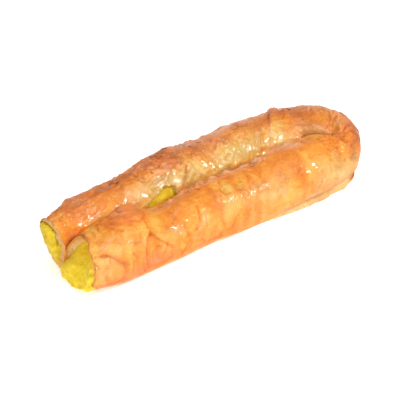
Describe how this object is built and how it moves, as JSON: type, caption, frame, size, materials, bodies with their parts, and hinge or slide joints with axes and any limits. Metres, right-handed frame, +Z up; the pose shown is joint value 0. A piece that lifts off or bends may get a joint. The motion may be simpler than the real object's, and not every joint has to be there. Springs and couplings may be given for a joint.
{
  "type": "potato pie",
  "caption": "Rope of browned filo pastry folded like a hairpin round mashed potato, which shows at the open ends and at a tear in the crust.",
  "frame": {"origin": "centre of the pie's box, on the surface that it lies on", "axes": "+X along the strands towards the fold, +Y from the front strand to the back strand, +Z up"},
  "size_m": [0.2084, 0.0716, 0.0394],
  "materials": {
    "pastry": "oiled baked filo pastry, satin with glossy spots",
    "filling": "moist mashed potato"
  },
  "bodies": {
    "root": {"pastry": "pastry", "filling": "filling"}
  },
  "joints": []
}
